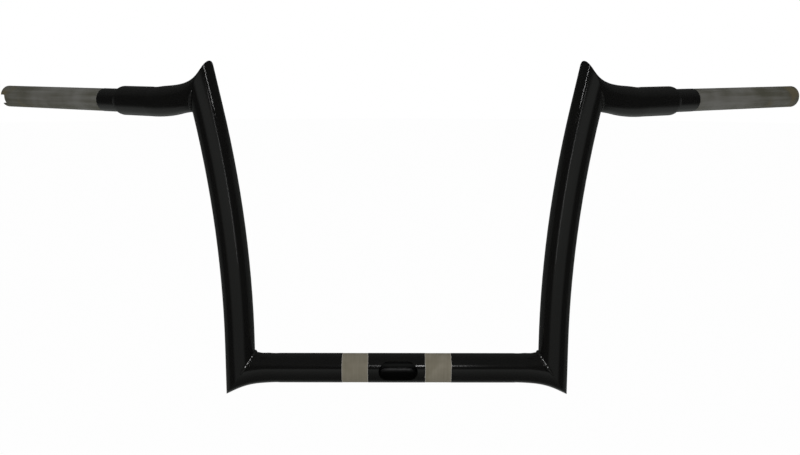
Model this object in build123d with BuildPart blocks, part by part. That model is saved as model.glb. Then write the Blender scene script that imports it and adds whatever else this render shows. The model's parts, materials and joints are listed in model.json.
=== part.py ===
"""Ape hanger handlebar: bent steel tubes, mitred to four points and welded, with plug-in control tubes.

Millimetres. The origin is on the crossbar axis, midway between the two riser clamps.
+X runs to the clutch side, +Y runs back to the rider and +Z is up.
"""

import os
from math import atan, cos, degrees, pi, radians, sin, tan

from build123d import *

# Tube stock
main_diameter = 31.75
main_wall = 2.4
control_diameter = 25.4
control_wall = 2.11
coat = 0.18
slip_clearance = 0.12

# Crossbar
upright_spacing = 342.0
crossbar_bend_radius = 94.0
crossbar_bend_angle = 20.8
clamp_spacing = 90.3
clamp_width = 28.4
slot_length = 42.4
slot_height = 21.6
slot_offset = 1.7

# Uprights, with the rise from the crossbar's axis to the upper corners
rise = 305.5
lower_straight = 25.0
upper_straight = 24.5
upright_lean_angle = 11.85

# Arms
corner_drop_angle = 31.4
corner_sweep_angle = 30.1
corner_scoop = 4.2
corner_flare = 0.6
arm_bend_radius = 120.0
grip_sweep_angle = 32.9
grip_rise_angle = 0.4
arm_straight = 60.0
shoulder_length = 7.5
shoulder_lip = 0.4
socket_depth = 38.0

# Control tubes, measured from the arm's shoulder
throttle_reach = 202.5
clutch_reach = 212.0
throttle_coated = 27.0
clutch_coated = 31.0
end_chamfer = 0.6
sensor_notch_width = 11.0
sensor_notch_depth = 7.5
key_notch_width = 6.0
key_notch_depth = 7.5
notch_angle = 16.0
notch_corner_radius = 1.5

# Lofted ends: round lead-in before a bend, overruns past a mitre, and stations along the bend
lead_in = 10.0
tube_overrun = 4.0
bore_overrun = 6.0
crossbar_stations = 3
arm_round_stations = 1
arm_tilt_stations = 2

main_bare_radius = main_diameter / 2
main_radius = main_bare_radius + coat
main_bore_radius = main_bare_radius - main_wall
control_radius = control_diameter / 2
control_coated_radius = control_radius + coat
control_bore_radius = control_radius - control_wall
socket_radius = control_radius + slip_clearance
shoulder_radius = control_coated_radius + shoulder_lip
upright_x = upright_spacing / 2
crossbar_bend_start = upright_x - crossbar_bend_radius * sin(radians(crossbar_bend_angle))
upright_climb = rise - lower_straight - upper_straight * cos(radians(upright_lean_angle))
upright_bend_radius = upright_climb / sin(radians(upright_lean_angle))

THROTTLE = -1
CLUTCH = 1
SIDES = {"throttle": THROTTLE, "clutch": CLUTCH}

# Width, depth and turn below the level front of each notch in the throttle tube's end
NOTCHES = [
    (sensor_notch_width, sensor_notch_depth, notch_angle),
    (key_notch_width, key_notch_depth, notch_angle + 180),
]


def bend_direction(side, drop):
    """Direction of the crossbar axis, running outward, after it has bent down by drop degrees."""
    return Vector(side * cos(radians(drop)), 0, -sin(radians(drop)))


def arm_direction(side, sweep, drop):
    """Outward direction of an arm swept back and dropped by the given angles."""
    level = cos(radians(drop))
    return Vector(side * level * cos(radians(sweep)), level * sin(radians(sweep)), -sin(radians(drop)))


def mitre_plane(corner, arriving, leaving):
    """Cutting plane of a mitre, with its X direction pointing from the inside of the corner to its tip."""
    return Plane(origin=corner, x_dir=(arriving - leaving).normalized(), z_dir=(arriving + leaving).normalized())


def mitre_tilt(arriving, leaving):
    """Angle between the mitre plane and a square cut of either tube."""
    return arriving.get_angle(leaving) / 2


def tilted_section(centre, heading, tip_side, tilt):
    """Plane that cuts a tube obliquely: tip_side is square to heading, and the plane leans towards it."""
    across = tip_side * cos(radians(tilt)) + heading * sin(radians(tilt))
    normal = heading * cos(radians(tilt)) - tip_side * sin(radians(tilt))
    return Plane(origin=centre, x_dir=across, z_dir=normal)


def station_tilt(share, final_tilt):
    """Tilt at a share of the way to the mitre, so that the tube's sides advance evenly."""
    return degrees(atan(share * tan(radians(final_tilt))))


def lower_corner(side):
    drop = crossbar_bend_radius * (1 - cos(radians(crossbar_bend_angle)))
    return Vector(side * upright_x, 0, -drop)


def upright_heading(side):
    """Direction of the upright's axis at its top."""
    return Vector(side * sin(radians(upright_lean_angle)), 0, cos(radians(upright_lean_angle)))


def upright_points(side):
    """Ends of the three runs of the upright's axis: bottom bend start, top bend end and upper corner."""
    bend_start = Vector(side * upright_x, 0, lower_straight)
    run = upright_bend_radius * (1 - cos(radians(upright_lean_angle)))
    bend_end = bend_start + Vector(side * run, 0, upright_climb)
    return bend_start, bend_end, bend_end + upright_heading(side) * upper_straight


def arm_bend(side):
    """The arm's direction at the upper corner, the axis that it bends about and the angle of the bend."""
    first = arm_direction(side, corner_sweep_angle, corner_drop_angle)
    last = arm_direction(side, grip_sweep_angle, -grip_rise_angle)
    return first, first.cross(last).normalized(), first.get_angle(last)


def arm_station(side, angle):
    """Point and outward direction on the arm's bend, at an angle from the upper corner."""
    first, turn_axis, _ = arm_bend(side)
    corner = upright_points(side)[2]
    to_centre = turn_axis.cross(first)
    direction = first * cos(radians(angle)) + to_centre * sin(radians(angle))
    swing = to_centre * (1 - cos(radians(angle))) + first * sin(radians(angle))
    return corner + swing * arm_bend_radius, direction


def lower_mitre(side):
    return mitre_plane(lower_corner(side), bend_direction(side, crossbar_bend_angle), Vector(0, 0, 1))


def upper_mitre(side):
    return mitre_plane(upright_points(side)[2], upright_heading(side), arm_bend(side)[0])


def shoulder_plane(side):
    """Plane at the arm's shoulder, with X outward along the grip and Y square to it, level and to the front."""
    bend_end, direction = arm_station(side, arm_bend(side)[2])
    shoulder = bend_end + direction * arm_straight
    front = Vector(direction.Y, -direction.X, 0).normalized() * side
    return Plane(origin=shoulder, x_dir=direction, z_dir=direction.cross(front))


def notch_plane(side, turn):
    """Plane at the tube's end whose normal points out through the wall, turned down from the level front."""
    shoulder = shoulder_plane(side)
    end = shoulder.origin + shoulder.x_dir * throttle_reach
    down = shoulder.z_dir * side
    outward = shoulder.y_dir * cos(radians(turn)) + down * sin(radians(turn))
    return Plane(origin=end, x_dir=shoulder.x_dir, z_dir=outward)


def crossbar_sections(side, overrun):
    """Section planes and tilts from the crossbar's straight part to its mitre, and past it by overrun."""
    heading = Vector(side, 0, 0)
    downward = Vector(0, 0, -1)
    start = crossbar_bend_start - lead_in
    sections = [(tilted_section(heading * start, heading, downward, 0), 0)]
    final_tilt = mitre_tilt(bend_direction(side, crossbar_bend_angle), Vector(0, 0, 1))
    for index in range(crossbar_stations + 1):
        share = index / crossbar_stations
        angle = crossbar_bend_angle * share
        run = crossbar_bend_start + crossbar_bend_radius * sin(radians(angle))
        centre = Vector(side * run, 0, -crossbar_bend_radius * (1 - cos(radians(angle))))
        heading = bend_direction(side, angle)
        downward = Vector(-side * sin(radians(angle)), 0, -cos(radians(angle)))
        tilt = station_tilt(share, final_tilt)
        sections.append((tilted_section(centre, heading, downward, tilt), tilt))
    sections.append((tilted_section(centre + heading * overrun, heading, downward, tilt), tilt))
    return sections


def scooped_section(centre, direction, tip_side, tilt, scoop):
    """Plane of an arm's section, moved so that its tip side comes in by the scoop and the other stays."""
    plane = tilted_section(centre, direction * -1, tip_side, tilt)
    return plane.shift_origin(plane.origin - plane.x_dir * (scoop / 2)), tilt, scoop


def arm_sections(side, overrun):
    """Section planes, tilts and scoops from the arm's straight part to its mitre, and past it by overrun.

    The scoop is how far the tube's upper side is drawn in halfway along the tilted sections. Past the
    mitre it is negative, so that the upper side is still rising where the mitre cuts it.
    """
    first, turn_axis, whole_bend = arm_bend(side)
    arriving = upright_heading(side)
    final_tilt = mitre_tilt(arriving, first)
    tip_side = (arriving - first * arriving.dot(first)).normalized()
    bend_axis = Axis((0, 0, 0), turn_axis)
    centre, direction = arm_station(side, whole_bend)
    square = tip_side.rotate(bend_axis, whole_bend)
    sections = [(tilted_section(centre + direction * lead_in, direction * -1, square, 0), 0, 0)]
    for index in range(arm_round_stations + arm_tilt_stations + 1):
        angle = whole_bend * (1 - index / (arm_round_stations + arm_tilt_stations))
        centre, direction = arm_station(side, angle)
        square = tip_side.rotate(bend_axis, angle)
        share = max(0, index - arm_round_stations) / arm_tilt_stations
        tilt = station_tilt(share, final_tilt)
        scoop = corner_scoop * sin(pi * share)
        sections.append(scooped_section(centre, direction, square, tilt, scoop))
    sections.append(scooped_section(centre - direction * overrun, direction, square, tilt, -corner_flare * overrun))
    return sections


def make_crossbar():
    """Crossbar: bent down at both ends, with two bare clamp bands and a wiring slot in its front."""
    half_straight = crossbar_bend_start - lead_in
    with BuildPart() as bore:
        with BuildSketch(Plane.YZ.offset(-half_straight)):
            Circle(main_bore_radius)
        extrude(amount=2 * half_straight)
        for side in SIDES.values():
            for plane, tilt in crossbar_sections(side, bore_overrun):
                with BuildSketch(plane):
                    Ellipse(main_bore_radius / cos(radians(tilt)), main_bore_radius)
            loft()
    with BuildPart() as crossbar:
        with BuildSketch(Plane.YZ.offset(-half_straight)):
            Circle(main_radius)
        extrude(amount=2 * half_straight)
        for side in SIDES.values():
            for plane, tilt in crossbar_sections(side, tube_overrun):
                with BuildSketch(plane):
                    Ellipse(main_radius / cos(radians(tilt)), main_radius)
            loft()
        add(bore.part, mode=Mode.SUBTRACT)
        for side in SIDES.values():
            split(bisect_by=lower_mitre(side), keep=Keep.BOTTOM)
        for side in SIDES.values():
            with BuildSketch(Plane.YZ.offset(side * clamp_spacing / 2)):
                Circle(main_radius + coat)
                Circle(main_bare_radius, mode=Mode.SUBTRACT)
            extrude(amount=clamp_width / 2, both=True, mode=Mode.SUBTRACT)
        with BuildSketch(Plane.XZ):
            with Locations((slot_offset, 0)):
                SlotOverall(slot_length, slot_height)
        extrude(amount=main_diameter, mode=Mode.SUBTRACT)
    return crossbar.part


def make_upright(side):
    """Upright: straight at the foot, bowed outward and straight again at the top, mitred at both ends."""
    bend_start, bend_end, corner = upright_points(side)
    foot = lower_corner(side)
    heading = upright_heading(side)
    overrun = main_diameter * 2
    path_start = foot - Vector(0, 0, overrun)
    with BuildPart() as upright:
        with BuildLine() as axis:
            Line(path_start, bend_start)
            TangentArc(bend_start, bend_end, tangent=(0, 0, 1))
            Line(bend_end, corner + heading * overrun)
        with BuildSketch(Plane(origin=path_start, z_dir=(0, 0, 1))):
            Circle(main_radius)
            Circle(main_bore_radius, mode=Mode.SUBTRACT)
        sweep(path=axis.wire())
        split(bisect_by=lower_mitre(side), keep=Keep.TOP)
        split(bisect_by=upper_mitre(side), keep=Keep.BOTTOM)
    return upright.part


def make_arm(side):
    """Arm: mitred to the upright, bent back and level, and bored at its rounded end for the control tube."""
    shoulder = shoulder_plane(side)
    axis = Axis(shoulder.origin, shoulder.x_dir)
    straight = arm_straight - lead_in
    with BuildPart() as bore:
        for plane, tilt, scoop in arm_sections(side, bore_overrun):
            with BuildSketch(plane):
                Ellipse(main_bore_radius / cos(radians(tilt)) - scoop / 2, main_bore_radius)
        loft()
        with BuildSketch(shoulder):
            with BuildLine():
                Polyline(
                    (-straight, 0),
                    (-straight, main_bore_radius),
                    (-socket_depth, main_bore_radius),
                    (-socket_depth, socket_radius),
                    (socket_depth, socket_radius),
                    (socket_depth, 0),
                    close=True,
                )
            make_face()
        revolve(axis=axis)
    with BuildPart() as arm:
        for plane, tilt, scoop in arm_sections(side, tube_overrun):
            with BuildSketch(plane):
                Ellipse(main_radius / cos(radians(tilt)) - scoop / 2, main_radius)
        loft()
        with BuildSketch(shoulder):
            with BuildLine():
                Polyline((-straight, 0), (-straight, main_radius), (-shoulder_length, main_radius))
                TangentArc((-shoulder_length, main_radius), (0, shoulder_radius), tangent=(1, 0))
                Polyline((0, shoulder_radius), (0, 0), (-straight, 0))
            make_face()
        revolve(axis=axis)
        add(bore.part, mode=Mode.SUBTRACT)
        split(bisect_by=upper_mitre(side), keep=Keep.TOP)
    return arm.part


def make_control_tube(side):
    """Control tube: plugs into the arm, is coated beside the shoulder and bare where the controls clamp on."""
    shoulder = shoulder_plane(side)
    reach = throttle_reach if side == THROTTLE else clutch_reach
    coated = throttle_coated if side == THROTTLE else clutch_coated
    with BuildPart() as tube:
        with BuildSketch(shoulder):
            with BuildLine():
                Polyline(
                    (-socket_depth, control_bore_radius),
                    (-socket_depth, control_radius),
                    (0, control_radius),
                    (0, control_coated_radius),
                    (coated, control_coated_radius),
                    (coated, control_radius),
                    (reach - end_chamfer, control_radius),
                    (reach, control_radius - end_chamfer),
                    (reach, control_bore_radius),
                    close=True,
                )
            make_face()
        revolve(axis=Axis(shoulder.origin, shoulder.x_dir))
        if side == THROTTLE:
            for width, depth, turn in NOTCHES:
                with BuildSketch(notch_plane(side, turn)):
                    RectangleRounded(2 * depth, width, notch_corner_radius)
                extrude(amount=control_diameter, mode=Mode.SUBTRACT)
    return tube.part


os.makedirs("parts", exist_ok=True)
parts = {"crossbar": make_crossbar()}
for side_name, side_sign in SIDES.items():
    parts[side_name + "_upright"] = make_upright(side_sign)
    parts[side_name + "_arm"] = make_arm(side_sign)
    parts[side_name + "_tube"] = make_control_tube(side_sign)
for node_name, solid in parts.items():
    solid.label = node_name
    export_step(solid, "parts/" + node_name + ".step")
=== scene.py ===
"""Ape hanger handlebar: gloss black powder coat over bent steel tube, bare where clamps and controls sit.

Metres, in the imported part's own frame: +X to the clutch side, +Y back to the rider and +Z up.
"""

import json
from math import cos, pi, radians, sin

import bmesh
import bpy
from mathutils import Matrix, Vector


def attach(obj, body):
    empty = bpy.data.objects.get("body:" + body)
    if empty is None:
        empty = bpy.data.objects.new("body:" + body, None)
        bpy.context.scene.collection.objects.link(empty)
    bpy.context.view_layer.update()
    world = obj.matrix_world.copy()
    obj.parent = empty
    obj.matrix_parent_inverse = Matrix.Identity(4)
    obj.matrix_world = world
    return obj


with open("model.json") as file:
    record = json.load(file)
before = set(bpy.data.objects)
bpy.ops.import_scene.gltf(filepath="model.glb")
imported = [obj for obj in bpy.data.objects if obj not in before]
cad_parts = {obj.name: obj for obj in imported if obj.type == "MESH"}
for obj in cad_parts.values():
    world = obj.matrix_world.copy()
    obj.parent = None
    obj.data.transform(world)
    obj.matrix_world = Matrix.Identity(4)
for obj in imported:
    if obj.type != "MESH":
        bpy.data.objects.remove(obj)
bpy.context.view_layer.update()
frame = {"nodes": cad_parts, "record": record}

SIDES = {"throttle": -1, "clutch": 1}
MILLIMETRE = 0.001
WHITE = (1, 1, 1, 1)

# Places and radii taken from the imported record
mounts = {mount["name"]: mount for mount in frame["record"]["mounts"]}
clamp_bands = [mounts["throttle_clamp_band"], mounts["clutch_clamp_band"]]
grips = {"throttle": mounts["throttle_grip"], "clutch": mounts["clutch_grip"]}
main_radius = clamp_bands[0]["dims"]["r_mm"] * MILLIMETRE
control_radius = grips["throttle"]["dims"]["r_mm"] * MILLIMETRE

# Directions of the tubes that meet at the corners, in degrees
crossbar_fall = 20.8
upright_lean = 11.85
arm_drop = 31.4
arm_sweep = 30.1

# Weld beads on the inside of the corners
bead_radius = 2.0 * MILLIMETRE
bead_end_radius = 0.3 * MILLIMETRE
bead_end_power = 8
bead_half_turn = 84
bead_stations = 61
bead_segments = 12
ripple_depth = 0.6 * MILLIMETRE
ripples_each_way = 10

# Depths and widths of the finishes
coat_thickness = 0.18 * MILLIMETRE
wall_middle = 1.2 * MILLIMETRE
bore_finish_depth = 1.0 * MILLIMETRE
# Width of the thin ring at each end of a bare zone that carries a painted highlight, the glint on the coat's
# edge
glint_rim_width = 0.7 * MILLIMETRE
rim_softness = 0.1 * MILLIMETRE
edge_wander = 1.8 * MILLIMETRE
peel_depth = 0.007 * MILLIMETRE

# Colours of the finishes, linear, and their gloss
coat_dark = (0.0036, 0.0035, 0.0033, 1)
coat_light = (0.0052, 0.0051, 0.0048, 1)
coat_roughness = (0.10, 0.17)
inside_roughness = 0.34
band_dark = (0.230, 0.206, 0.152, 1)
band_light = (0.298, 0.272, 0.210, 1)
tube_dark = (0.093, 0.090, 0.064, 1)
tube_light = (0.193, 0.190, 0.174, 1)
steel_stain = (0.138, 0.119, 0.068, 1)
# Pale colour of the painted highlight: the glint where the coat's edge meets the bare steel
edge_glint_steel = (0.59, 0.57, 0.52, 1)
steel_metallic = 0.30
steel_roughness = (0.44, 0.62)
bore_dark = (0.010, 0.0085, 0.007, 1)
bore_light = (0.022, 0.018, 0.014, 1)
bore_roughness = 0.7

# Wear of the bare steel: noise levels, shares, and the scales of its fine lines
tone_range = (0.26, 0.66)
stain_range = (0.48, 0.68)
cloud_share = 0.5
age_darkening = 0.13
band_lines = {"Across_Scale": 40.0, "Along_Scale": 1500.0}
band_age = 0.35
tube_lines = {"Across_Scale": 190.0, "Along_Scale": 9.0}
tube_age_span = (-0.2, 0.7)
# Share of the painted edge highlight that the control tubes get
tube_glint_share = 0.4

# Studio
floor_drop = 0.45
floor_radius = 14.0
floor_segments = 64
floor_dark = (0.88, 0.88, 0.88, 1)
floor_light = (0.92, 0.92, 0.92, 1)
floor_share_seen = 0.96
room_fill = 0.80

# Brightness that the gloss mirrors, by the height of the direction: -1 straight down, 0 level, 1 straight up
mirrored_below = [(-1.0, 0.06), (-0.7, 0.11), (-0.3, 0.20), (-0.05, 0.30)]
mirrored_front = mirrored_below + [(0.08, 0.28), (0.13, 0.02), (0.45, 0.02), (0.7, 0.08), (1.0, 0.08)]
mirrored_behind_below = [(-1.0, 0.06), (-0.85, 0.26), (-0.55, 0.30), (-0.3, 0.10)]
mirrored_back = mirrored_behind_below + [(0.05, 0.10), (0.15, 0.02), (0.8, 0.08)]
mirrored_sides = [(-1.0, 0.06), (-0.8, 0.03), (0.4, 0.02), (0.8, 0.08), (1.0, 0.08)]
mirrored_tint = (0.96, 1.0, 0.96, 1)

# Degrees away from straight ahead where the front and the back of that room start, and where they are full
front_edges = (50, 28)
back_edges = (82, 98)

# Camera, found by fitting the part's edges to the photograph
camera_place = (0.00506, -0.98598, 0.32268)
camera_tilt = 80.397
camera_roll = -0.042
camera_turn = 0.092
sensor_width = 36.0
camera_lens = 42.112


def put(tree, kind, settings=None, inputs=None):
    """Adds a node, sets it up, and fills its inputs from plain values or from other nodes' outputs."""
    node = tree.nodes.new(kind)
    for name, value in (settings or {}).items():
        setattr(node, name, value)
    for name, value in (inputs or {}).items():
        if isinstance(value, bpy.types.NodeSocket):
            tree.links.new(value, node.inputs[name])
        else:
            node.inputs[name].default_value = value
    return node


def calculate(tree, operation, first, second=0.0):
    return put(tree, "ShaderNodeMath", {"operation": operation}, {0: first, 1: second}).outputs[0]


def vector_math(tree, operation, first, second=(0, 0, 0)):
    """A vector operation's outputs: Vector, or Value where the answer is a number."""
    return put(tree, "ShaderNodeVectorMath", {"operation": operation}, {0: first, 1: second}).outputs


def stretch(tree, vector, scale):
    inputs = {0: vector, "Scale": scale}
    return put(tree, "ShaderNodeVectorMath", {"operation": "SCALE"}, inputs).outputs["Vector"]


def mix_value(tree, factor, first, second):
    node = put(tree, "ShaderNodeMix", {"data_type": "FLOAT"}, {0: factor, 2: first, 3: second})
    return node.outputs[0]


def mix_colour(tree, factor, first, second):
    node = put(tree, "ShaderNodeMix", {"data_type": "RGBA"}, {0: factor, 6: first, 7: second})
    return node.outputs[2]


def mix_shader(tree, factor, first, second):
    return put(tree, "ShaderNodeMixShader", {}, {0: factor, 1: first, 2: second}).outputs["Shader"]


def fade(tree, value, start, end):
    """0 where value is start and 1 where it is end, smooth between and level outside."""
    inputs = {"Value": value, "From Min": start, "From Max": end}
    return put(tree, "ShaderNodeMapRange", {"interpolation_type": "SMOOTHSTEP"}, inputs).outputs[0]


def noise(tree, vector, scale, detail, roughness=0.5):
    inputs = {"Vector": vector, "Scale": scale, "Detail": detail, "Roughness": roughness}
    return put(tree, "ShaderNodeTexNoise", {}, inputs).outputs["Fac"]


def object_place(tree):
    return put(tree, "ShaderNodeTexCoord").outputs["Object"]


def seen_directly(tree):
    """1 for what the camera sees straight or through something clear, and 0 for all other rays."""
    path = put(tree, "ShaderNodeLightPath").outputs
    return calculate(tree, "MAXIMUM", path["Is Camera Ray"], path["Is Transmission Ray"])


def start_group(name, inputs, outputs):
    """A new shader node group with sockets by name and kind: its tree, its inputs and its outputs."""
    tree = bpy.data.node_groups.new(name, "ShaderNodeTree")
    for socket, kind in inputs.items():
        tree.interface.new_socket(socket, in_out="INPUT", socket_type=kind)
    for socket, kind in outputs.items():
        tree.interface.new_socket(socket, in_out="OUTPUT", socket_type=kind)
    return tree, tree.nodes.new("NodeGroupInput").outputs, tree.nodes.new("NodeGroupOutput").inputs


def make_sleeve_group():
    """Where a point lies on a round tube: along its axis from a centre, and out from the axis."""
    tree, given, result = start_group(
        "Sleeve",
        {"Centre": "NodeSocketVector", "Axis": "NodeSocketVector"},
        {"Along": "NodeSocketFloat", "Out": "NodeSocketFloat"},
    )
    offset = vector_math(tree, "SUBTRACT", object_place(tree), given["Centre"])["Vector"]
    along = vector_math(tree, "DOT_PRODUCT", offset, given["Axis"])["Value"]
    onto_axis = vector_math(tree, "PROJECT", offset, given["Axis"])["Vector"]
    across = vector_math(tree, "SUBTRACT", offset, onto_axis)["Vector"]
    out = vector_math(tree, "LENGTH", across)["Value"]
    tree.links.new(along, result["Along"])
    tree.links.new(out, result["Out"])
    return tree


def make_coat_group():
    """Powder coat: a faint orange peel, with colour and gloss that vary a little."""
    tree, _, result = start_group(
        "Powder coat",
        {},
        {"Colour": "NodeSocketColor", "Roughness": "NodeSocketFloat", "Height": "NodeSocketFloat"},
    )
    place = object_place(tree)
    clouds = noise(tree, place, scale=22.0, detail=3.0)
    peel = noise(tree, place, scale=420.0, detail=2.0, roughness=0.4)
    tree.links.new(mix_colour(tree, clouds, coat_dark, coat_light), result["Colour"])
    tree.links.new(mix_value(tree, clouds, *coat_roughness), result["Roughness"])
    tree.links.new(peel, result["Height"])
    return tree


def make_steel_group():
    """Bare steel: fine lines along the tube or round it, cloudy tone, and brown stains that grow with age."""
    tree, given, result = start_group(
        "Bare steel",
        {
            "Axis": "NodeSocketVector",
            "Across Scale": "NodeSocketFloat",
            "Along Scale": "NodeSocketFloat",
            "Dark": "NodeSocketColor",
            "Light": "NodeSocketColor",
            "Age": "NodeSocketFloat",
        },
        {"Colour": "NodeSocketColor", "Roughness": "NodeSocketFloat", "Height": "NodeSocketFloat"},
    )
    place = object_place(tree)
    lengthwise = vector_math(tree, "PROJECT", place, given["Axis"])["Vector"]
    across = vector_math(tree, "SUBTRACT", place, lengthwise)["Vector"]
    stretched_across = stretch(tree, across, given["Across Scale"])
    stretched_along = stretch(tree, lengthwise, given["Along Scale"])
    drawn = vector_math(tree, "ADD", stretched_across, stretched_along)["Vector"]
    lines = noise(tree, drawn, scale=1.0, detail=4.0, roughness=0.6)
    clouds = noise(tree, place, scale=34.0, detail=2.0, roughness=0.45)
    patches = noise(tree, place, scale=38.0, detail=2.0)
    tone = mix_value(tree, cloud_share, lines, clouds)
    aged_tone = calculate(tree, "SUBTRACT", tone, calculate(tree, "MULTIPLY", given["Age"], age_darkening))
    clean = mix_colour(tree, fade(tree, aged_tone, *tone_range), given["Dark"], given["Light"])
    stained = calculate(tree, "MULTIPLY", fade(tree, patches, *stain_range), given["Age"])
    tree.links.new(mix_colour(tree, stained, clean, steel_stain), result["Colour"])
    tree.links.new(mix_value(tree, tone, *steel_roughness), result["Roughness"])
    tree.links.new(lines, result["Height"])
    return tree


sleeve_group = make_sleeve_group()
coat_group = make_coat_group()
steel_group = make_steel_group()


def blank_material(name):
    material = bpy.data.materials.new(name)
    material.use_nodes = True
    material.node_tree.nodes.clear()
    return material, material.node_tree


def start_material(name):
    """A material with a Principled shader and its output: the material, its tree and the shader's inputs."""
    material, tree = blank_material(name)
    shader = put(tree, "ShaderNodeBsdfPrincipled", {}, {"IOR": 1.5})
    put(tree, "ShaderNodeOutputMaterial", {}, {"Surface": shader.outputs["BSDF"]})
    return material, tree, shader.inputs


def place_group(tree, group, **inputs):
    named = {name.replace("_", " "): value for name, value in inputs.items()}
    return put(tree, "ShaderNodeGroup", {"node_tree": group}, named).outputs


def bump(tree, height, distance):
    inputs = {"Height": height, "Distance": distance, "Strength": 1.0}
    return put(tree, "ShaderNodeBump", {}, inputs).outputs["Normal"]


def half_length(mount):
    return mount["dims"]["length_mm"] * MILLIMETRE / 2


def bare_zone(tree, mount):
    """Masks of a mount's bare length and of a thin painted highlight ring at its ends, and the place on the
    tube.
    """
    sleeve = place_group(tree, sleeve_group, Centre=mount["pos_m"], Axis=mount["axis"])
    end = half_length(mount)
    unevenness = calculate(tree, "SUBTRACT", noise(tree, object_place(tree), scale=170.0, detail=3.0), 0.5)
    wander = calculate(tree, "MULTIPLY", unevenness, edge_wander)
    reach = calculate(tree, "ADD", calculate(tree, "ABSOLUTE", sleeve["Along"]), wander)
    bare = fade(tree, reach, end, end - rim_softness)
    # The ring just inside each end later gets a painted highlight, the glint on the coat's edge
    near_end = fade(tree, reach, end - glint_rim_width, end - rim_softness)
    return bare, calculate(tree, "MULTIPLY", near_end, bare), sleeve


def finish_coat_material():
    """Gloss black powder coat, for the uprights, arms and welds."""
    material, tree, shader = start_material("Gloss black powder coat")
    coat = place_group(tree, coat_group)
    tree.links.new(coat["Colour"], shader["Base Color"])
    tree.links.new(coat["Roughness"], shader["Roughness"])
    tree.links.new(bump(tree, coat["Height"], peel_depth), shader["Normal"])
    return material


def finish_crossbar_material():
    """Powder coat inside and out, with the two bare clamp bands turned round the tube."""
    material, tree, shader = start_material("Coat with clamp bands")
    coat = place_group(tree, coat_group)
    steel = place_group(
        tree,
        steel_group,
        Axis=clamp_bands[0]["axis"],
        Dark=band_dark,
        Light=band_light,
        Age=band_age,
        **band_lines,
    )
    throttle_bare, throttle_glint_rim, _ = bare_zone(tree, clamp_bands[0])
    clutch_bare, clutch_glint_rim, sleeve = bare_zone(tree, clamp_bands[1])
    outside = fade(tree, sleeve["Out"], main_radius - wall_middle, main_radius - wall_middle / 2)
    bare = calculate(tree, "MULTIPLY", calculate(tree, "MAXIMUM", throttle_bare, clutch_bare), outside)
    # Painted highlight: pale steel in thin rings at the band ends, where the coat's edge catches the light
    glint_rim = calculate(tree, "MAXIMUM", throttle_glint_rim, clutch_glint_rim)
    steel_colour = mix_colour(tree, glint_rim, steel["Colour"], edge_glint_steel)
    coat_gloss = mix_value(tree, outside, inside_roughness, coat["Roughness"])
    height = mix_value(tree, bare, coat["Height"], steel["Height"])
    tree.links.new(mix_colour(tree, bare, coat["Colour"], steel_colour), shader["Base Color"])
    tree.links.new(mix_value(tree, bare, coat_gloss, steel["Roughness"]), shader["Roughness"])
    tree.links.new(calculate(tree, "MULTIPLY", bare, steel_metallic), shader["Metallic"])
    tree.links.new(bump(tree, height, peel_depth), shader["Normal"])
    return material


def finish_control_material(side, grip):
    """Powder coat beside the arm, drawn bare steel where the controls clamp, and a dull dark bore."""
    material, tree, shader = start_material("Bare " + side + " control steel")
    coat = place_group(tree, coat_group)
    clamped, glint_rim, sleeve = bare_zone(tree, grip)
    end = half_length(grip)
    steel = place_group(
        tree,
        steel_group,
        Axis=grip["axis"],
        Dark=tube_dark,
        Light=tube_light,
        Age=fade(tree, sleeve["Along"], *[share * end for share in tube_age_span]),
        **tube_lines,
    )
    beyond = fade(tree, sleeve["Along"], end - glint_rim_width, end)
    bare = calculate(tree, "MAXIMUM", clamped, beyond)
    bore_limit = control_radius - bore_finish_depth
    bore = fade(tree, sleeve["Out"], bore_limit, bore_limit - rim_softness)
    # Painted highlight: a weaker pale ring at the coat's edges on the control tubes
    painted_glint = calculate(tree, "MULTIPLY", glint_rim, tube_glint_share)
    steel_colour = mix_colour(tree, painted_glint, steel["Colour"], edge_glint_steel)
    outside_colour = mix_colour(tree, bare, coat["Colour"], steel_colour)
    outside_roughness = mix_value(tree, bare, coat["Roughness"], steel["Roughness"])
    bore_colour = mix_colour(tree, steel["Height"], bore_dark, bore_light)
    bare_outside = calculate(tree, "MULTIPLY", bare, calculate(tree, "SUBTRACT", 1.0, bore))
    height = mix_value(tree, bare, coat["Height"], steel["Height"])
    tree.links.new(mix_colour(tree, bore, outside_colour, bore_colour), shader["Base Color"])
    tree.links.new(mix_value(tree, bore, outside_roughness, bore_roughness), shader["Roughness"])
    tree.links.new(calculate(tree, "MULTIPLY", bare_outside, steel_metallic), shader["Metallic"])
    tree.links.new(bump(tree, height, peel_depth), shader["Normal"])
    return material


def dress(node_name, material):
    node = frame["nodes"][node_name]
    node.data.materials.clear()
    node.data.materials.append(material)


def dress_handlebar(coat):
    dress("crossbar", finish_crossbar_material())
    for side, grip in grips.items():
        dress(side + "_upright", coat)
        dress(side + "_arm", coat)
        dress(side + "_tube", finish_control_material(side, grip))


def add_mesh(name, form, material):
    """Turns a bmesh into an object of the scene, with its material."""
    mesh = bpy.data.meshes.new(name)
    form.to_mesh(mesh)
    form.free()
    mesh.materials.append(material)
    piece = bpy.data.objects.new(name, mesh)
    bpy.context.scene.collection.objects.link(piece)
    return piece


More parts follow.
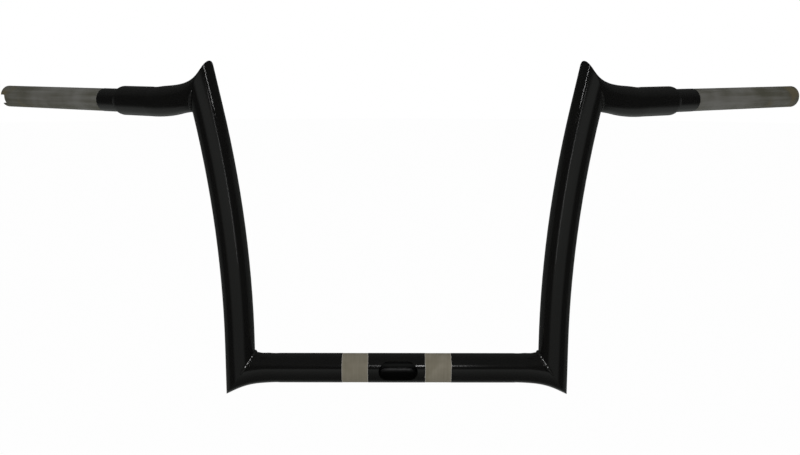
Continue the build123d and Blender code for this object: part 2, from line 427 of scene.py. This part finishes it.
def make_bead(corner, to_tip, across, long_radius, short_radius):
    """A rippled bead on the half of an oval seam that is away from its tip, thinning out at both ends."""
    form = bmesh.new()
    loops = []
    for station in range(bead_stations):
        share = 2 * station / (bead_stations - 1) - 1
        turn = radians(bead_half_turn) * share
        centre = corner - to_tip * long_radius * cos(turn) + across * short_radius * sin(turn)
        along = (to_tip * long_radius * sin(turn) + across * short_radius * cos(turn)).normalized()
        ripple = ripple_depth * cos(2 * pi * ripples_each_way * share)
        radius = bead_end_radius + (bead_radius - ripple) * (1 - share**bead_end_power)
        place = Matrix.Translation(centre) @ along.to_track_quat("Z", "Y").to_matrix().to_4x4()
        ring = bmesh.ops.create_circle(form, segments=bead_segments, radius=radius, matrix=place)["verts"]
        loops.append([edge for edge in form.edges if edge.verts[0] in ring and edge.verts[1] in ring])
    for first, second in zip(loops, loops[1:]):
        bmesh.ops.bridge_loops(form, edges=first + second)
    bmesh.ops.holes_fill(form, edges=loops[0] + loops[-1], sides=0)
    bmesh.ops.recalc_face_normals(form, faces=form.faces)
    for face in form.faces:
        face.smooth = True
    return form


def add_weld(name, tube, arriving, leaving, coat):
    """A bead inside the corner of two mitred tubes, whose place the tube's own sharp tip tells."""
    to_tip = (arriving - leaving).normalized()
    across = (arriving + leaving).normalized().cross(to_tip)
    short_radius = main_radius + coat_thickness
    long_radius = short_radius / cos(arriving.angle(leaving) / 2)
    tip = max((tube.matrix_world @ vertex.co for vertex in tube.data.vertices), key=to_tip.dot)
    corner = tip - to_tip * long_radius
    weld = add_mesh(name, make_bead(corner, to_tip, across, long_radius, short_radius), coat)
    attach(weld, "root")
    return weld


def heading(rise, sweep=0):
    """The direction that rises at an angle from +X, and that sweeps back towards +Y."""
    level = cos(radians(rise))
    return Vector((level * cos(radians(sweep)), level * sin(radians(sweep)), sin(radians(rise))))


def add_welds(coat):
    """Beads at the foot and at the top of both uprights."""
    corners = {
        "_lower_weld": (heading(-crossbar_fall), heading(90)),
        "_upper_weld": (heading(90 - upright_lean), heading(-arm_drop, arm_sweep)),
    }
    welds = []
    for side, sign in SIDES.items():
        mirror = Matrix.Diagonal((sign, 1, 1))
        upright = frame["nodes"][side + "_upright"]
        for ending, (arriving, leaving) in corners.items():
            welds.append(add_weld(side + ending, upright, mirror @ arriving, mirror @ leaving, coat))
    return welds


def finish_floor_material():
    """Pale paper that looks white to the camera, apart from a small share of its own shading."""
    material, tree = blank_material("Studio floor")
    grain = noise(tree, object_place(tree), scale=3.0, detail=2.0)
    colour = mix_colour(tree, grain, floor_dark, floor_light)
    paper = put(tree, "ShaderNodeBsdfDiffuse", {}, {"Color": colour}).outputs["BSDF"]
    white = put(tree, "ShaderNodeEmission", {}, {"Color": WHITE, "Strength": 1.0}).outputs["Emission"]
    share = calculate(tree, "MULTIPLY", seen_directly(tree), floor_share_seen)
    put(tree, "ShaderNodeOutputMaterial", {}, {"Surface": mix_shader(tree, share, paper, white)})
    return material


def add_floor():
    """A wide floor well below the bar, which the gloss doesn't mirror."""
    form = bmesh.new()
    bmesh.ops.create_circle(form, cap_ends=True, radius=floor_radius, segments=floor_segments)
    bmesh.ops.translate(form, verts=form.verts, vec=(0, 0, -floor_drop))
    floor = add_mesh("Floor", form, finish_floor_material())
    floor.visible_glossy = False


def brightness(tree, height, stops):
    """A ramp of brightness over the height of a direction."""
    lifted = put(tree, "ShaderNodeMapRange", {}, {"Value": height, "From Min": -1.0, "From Max": 1.0})
    node = put(tree, "ShaderNodeValToRGB", {}, {"Fac": lifted.outputs[0]})
    elements = node.color_ramp.elements
    while len(elements) < len(stops):
        elements.new(0.5)
    for element, (place, value) in zip(elements, stops):
        element.position = (place + 1) / 2
        element.color = (value, value, value, 1)
    return node.outputs["Color"]


def mirrored_room(tree):
    """Brightness of the dim room in the gloss: dark to both sides, lit low in front and behind."""
    direction = put(tree, "ShaderNodeTexCoord").outputs["Generated"]
    height = put(tree, "ShaderNodeSeparateXYZ", {}, {0: direction}).outputs["Z"]
    level = vector_math(tree, "MULTIPLY", direction, (1, 1, 0))["Vector"]
    bearing = vector_math(tree, "NORMALIZE", level)["Vector"]
    frontal = vector_math(tree, "DOT_PRODUCT", bearing, (0, -1, 0))["Value"]
    front = fade(tree, frontal, *[cos(radians(edge)) for edge in front_edges])
    back = fade(tree, frontal, *[cos(radians(edge)) for edge in back_edges])
    beside = brightness(tree, height, mirrored_sides)
    front_and_beside = mix_value(tree, front, beside, brightness(tree, height, mirrored_front))
    return mix_value(tree, back, front_and_beside, brightness(tree, height, mirrored_back))


def background(tree, colour, strength):
    inputs = {"Color": colour, "Strength": strength}
    return put(tree, "ShaderNodeBackground", {}, inputs).outputs["Background"]


def add_room():
    """White to the camera, an even fill for the surfaces, and a dim room in the gloss."""
    world = bpy.data.worlds.new("Studio")
    bpy.context.scene.world = world
    world.use_nodes = True
    tree = world.node_tree
    tree.nodes.clear()
    white = background(tree, WHITE, 1.0)
    fill = background(tree, WHITE, room_fill)
    dim = background(tree, mirrored_tint, mirrored_room(tree))
    glossy = put(tree, "ShaderNodeLightPath").outputs["Is Glossy Ray"]
    unseen = mix_shader(tree, glossy, fill, dim)
    put(tree, "ShaderNodeOutputWorld", {}, {"Surface": mix_shader(tree, seen_directly(tree), unseen, white)})


def add_panel(name, centre, target, size, power, spread=180):
    """A rectangular lamp that faces a target and that the camera doesn't see, with power per square metre."""
    width, height = size
    lamp = bpy.data.lights.new(name, "AREA")
    lamp.shape = "RECTANGLE"
    lamp.size = width
    lamp.size_y = height
    lamp.energy = power * width * height
    lamp.spread = radians(spread)
    panel = bpy.data.objects.new(name, lamp)
    panel.location = centre
    panel.rotation_euler = (Vector(target) - Vector(centre)).to_track_quat("-Z", "Y").to_euler()
    panel.visible_camera = False
    bpy.context.scene.collection.objects.link(panel)
    return panel


def add_lamps(welds):
    """Strips for the lines on the uprights, a lamp for the crossbar's line, and one for the welds alone."""
    for side, sign in SIDES.items():
        add_panel(
            side + "_strip_lamp",
            centre=(0, -0.25, 0.215),
            target=(sign * 0.185, 0, 0.20),
            size=(0.0065, 0.27),
            power=1.8,
            spread=70,
        )
        add_panel(
            side + "_tip_lamp",
            centre=(0, -0.135, 0.363),
            target=(sign * 0.205, 0, 0.32),
            size=(0.0035, 0.075),
            power=8.0,
            spread=60,
        )
    add_panel(
        "small_lamp",
        centre=(0.037, -1.0, 0.63),
        target=(0, 0, 0),
        size=(0.14, 0.085),
        power=52.0,
    )
    weld_lamp = add_panel(
        "weld_lamp",
        centre=(0, -1.0, 0.75),
        target=(0, 0, 0.15),
        size=(0.5, 0.5),
        power=60.0,
    )
    lit = bpy.data.collections.new("Lit welds")
    for weld in welds:
        lit.objects.link(weld)
    weld_lamp.light_linking.receiver_collection = lit


def add_camera():
    lens = bpy.data.cameras.new("Camera")
    lens.sensor_width = sensor_width
    lens.lens = camera_lens
    camera = bpy.data.objects.new("Camera", lens)
    camera.location = camera_place
    camera.rotation_euler = (radians(camera_tilt), radians(camera_roll), radians(camera_turn))
    bpy.context.scene.collection.objects.link(camera)
    bpy.context.scene.camera = camera


powder_coat = finish_coat_material()
dress_handlebar(powder_coat)
welds = add_welds(powder_coat)
add_floor()
add_room()
add_lamps(welds)
add_camera()
bpy.context.scene.view_settings.view_transform = "Standard"
